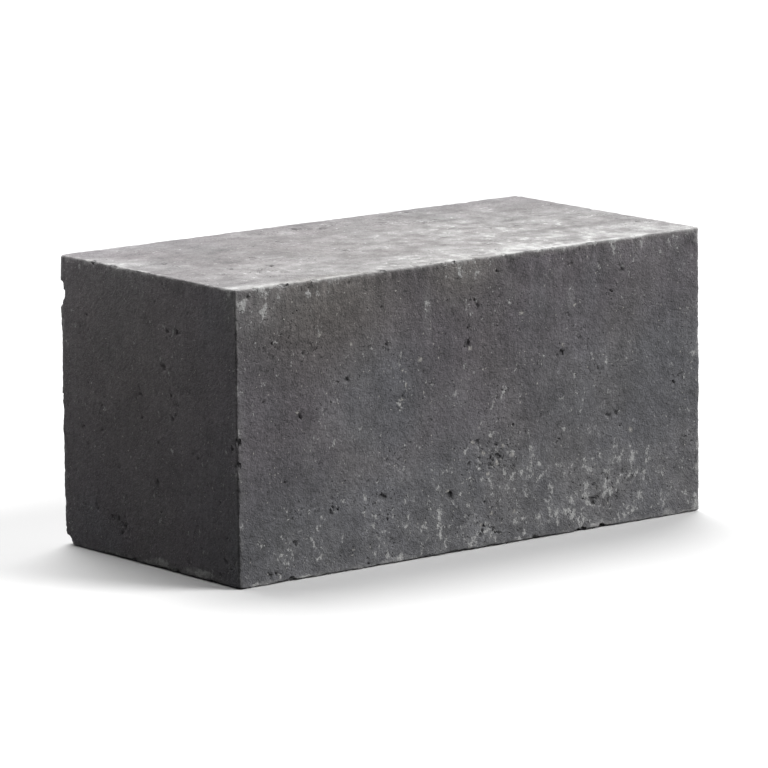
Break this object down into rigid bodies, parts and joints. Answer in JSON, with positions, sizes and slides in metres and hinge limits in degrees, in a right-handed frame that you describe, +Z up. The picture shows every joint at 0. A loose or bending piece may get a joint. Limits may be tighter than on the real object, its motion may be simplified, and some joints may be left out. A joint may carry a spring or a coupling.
{
  "type": "concrete wall block",
  "caption": "Solid rectangular anthracite concrete wall block with slightly rounded arrises, for dry-stacked or glued garden and retaining walls.",
  "frame": {"origin": "middle of the lower bed face, the face the block stands on", "axes": "+X along the block's length (along the wall), +Y from the face side to the rear (through the wall), +Z up"},
  "size_m": [0.3, 0.15, 0.15],
  "materials": {
    "anthracite_concrete": "matt vibro-pressed concrete, through-coloured anthracite, with pale lime bloom and rubbed arrises"
  },
  "bodies": {
    "root": {"wall_block": "anthracite_concrete"}
  },
  "joints": []
}
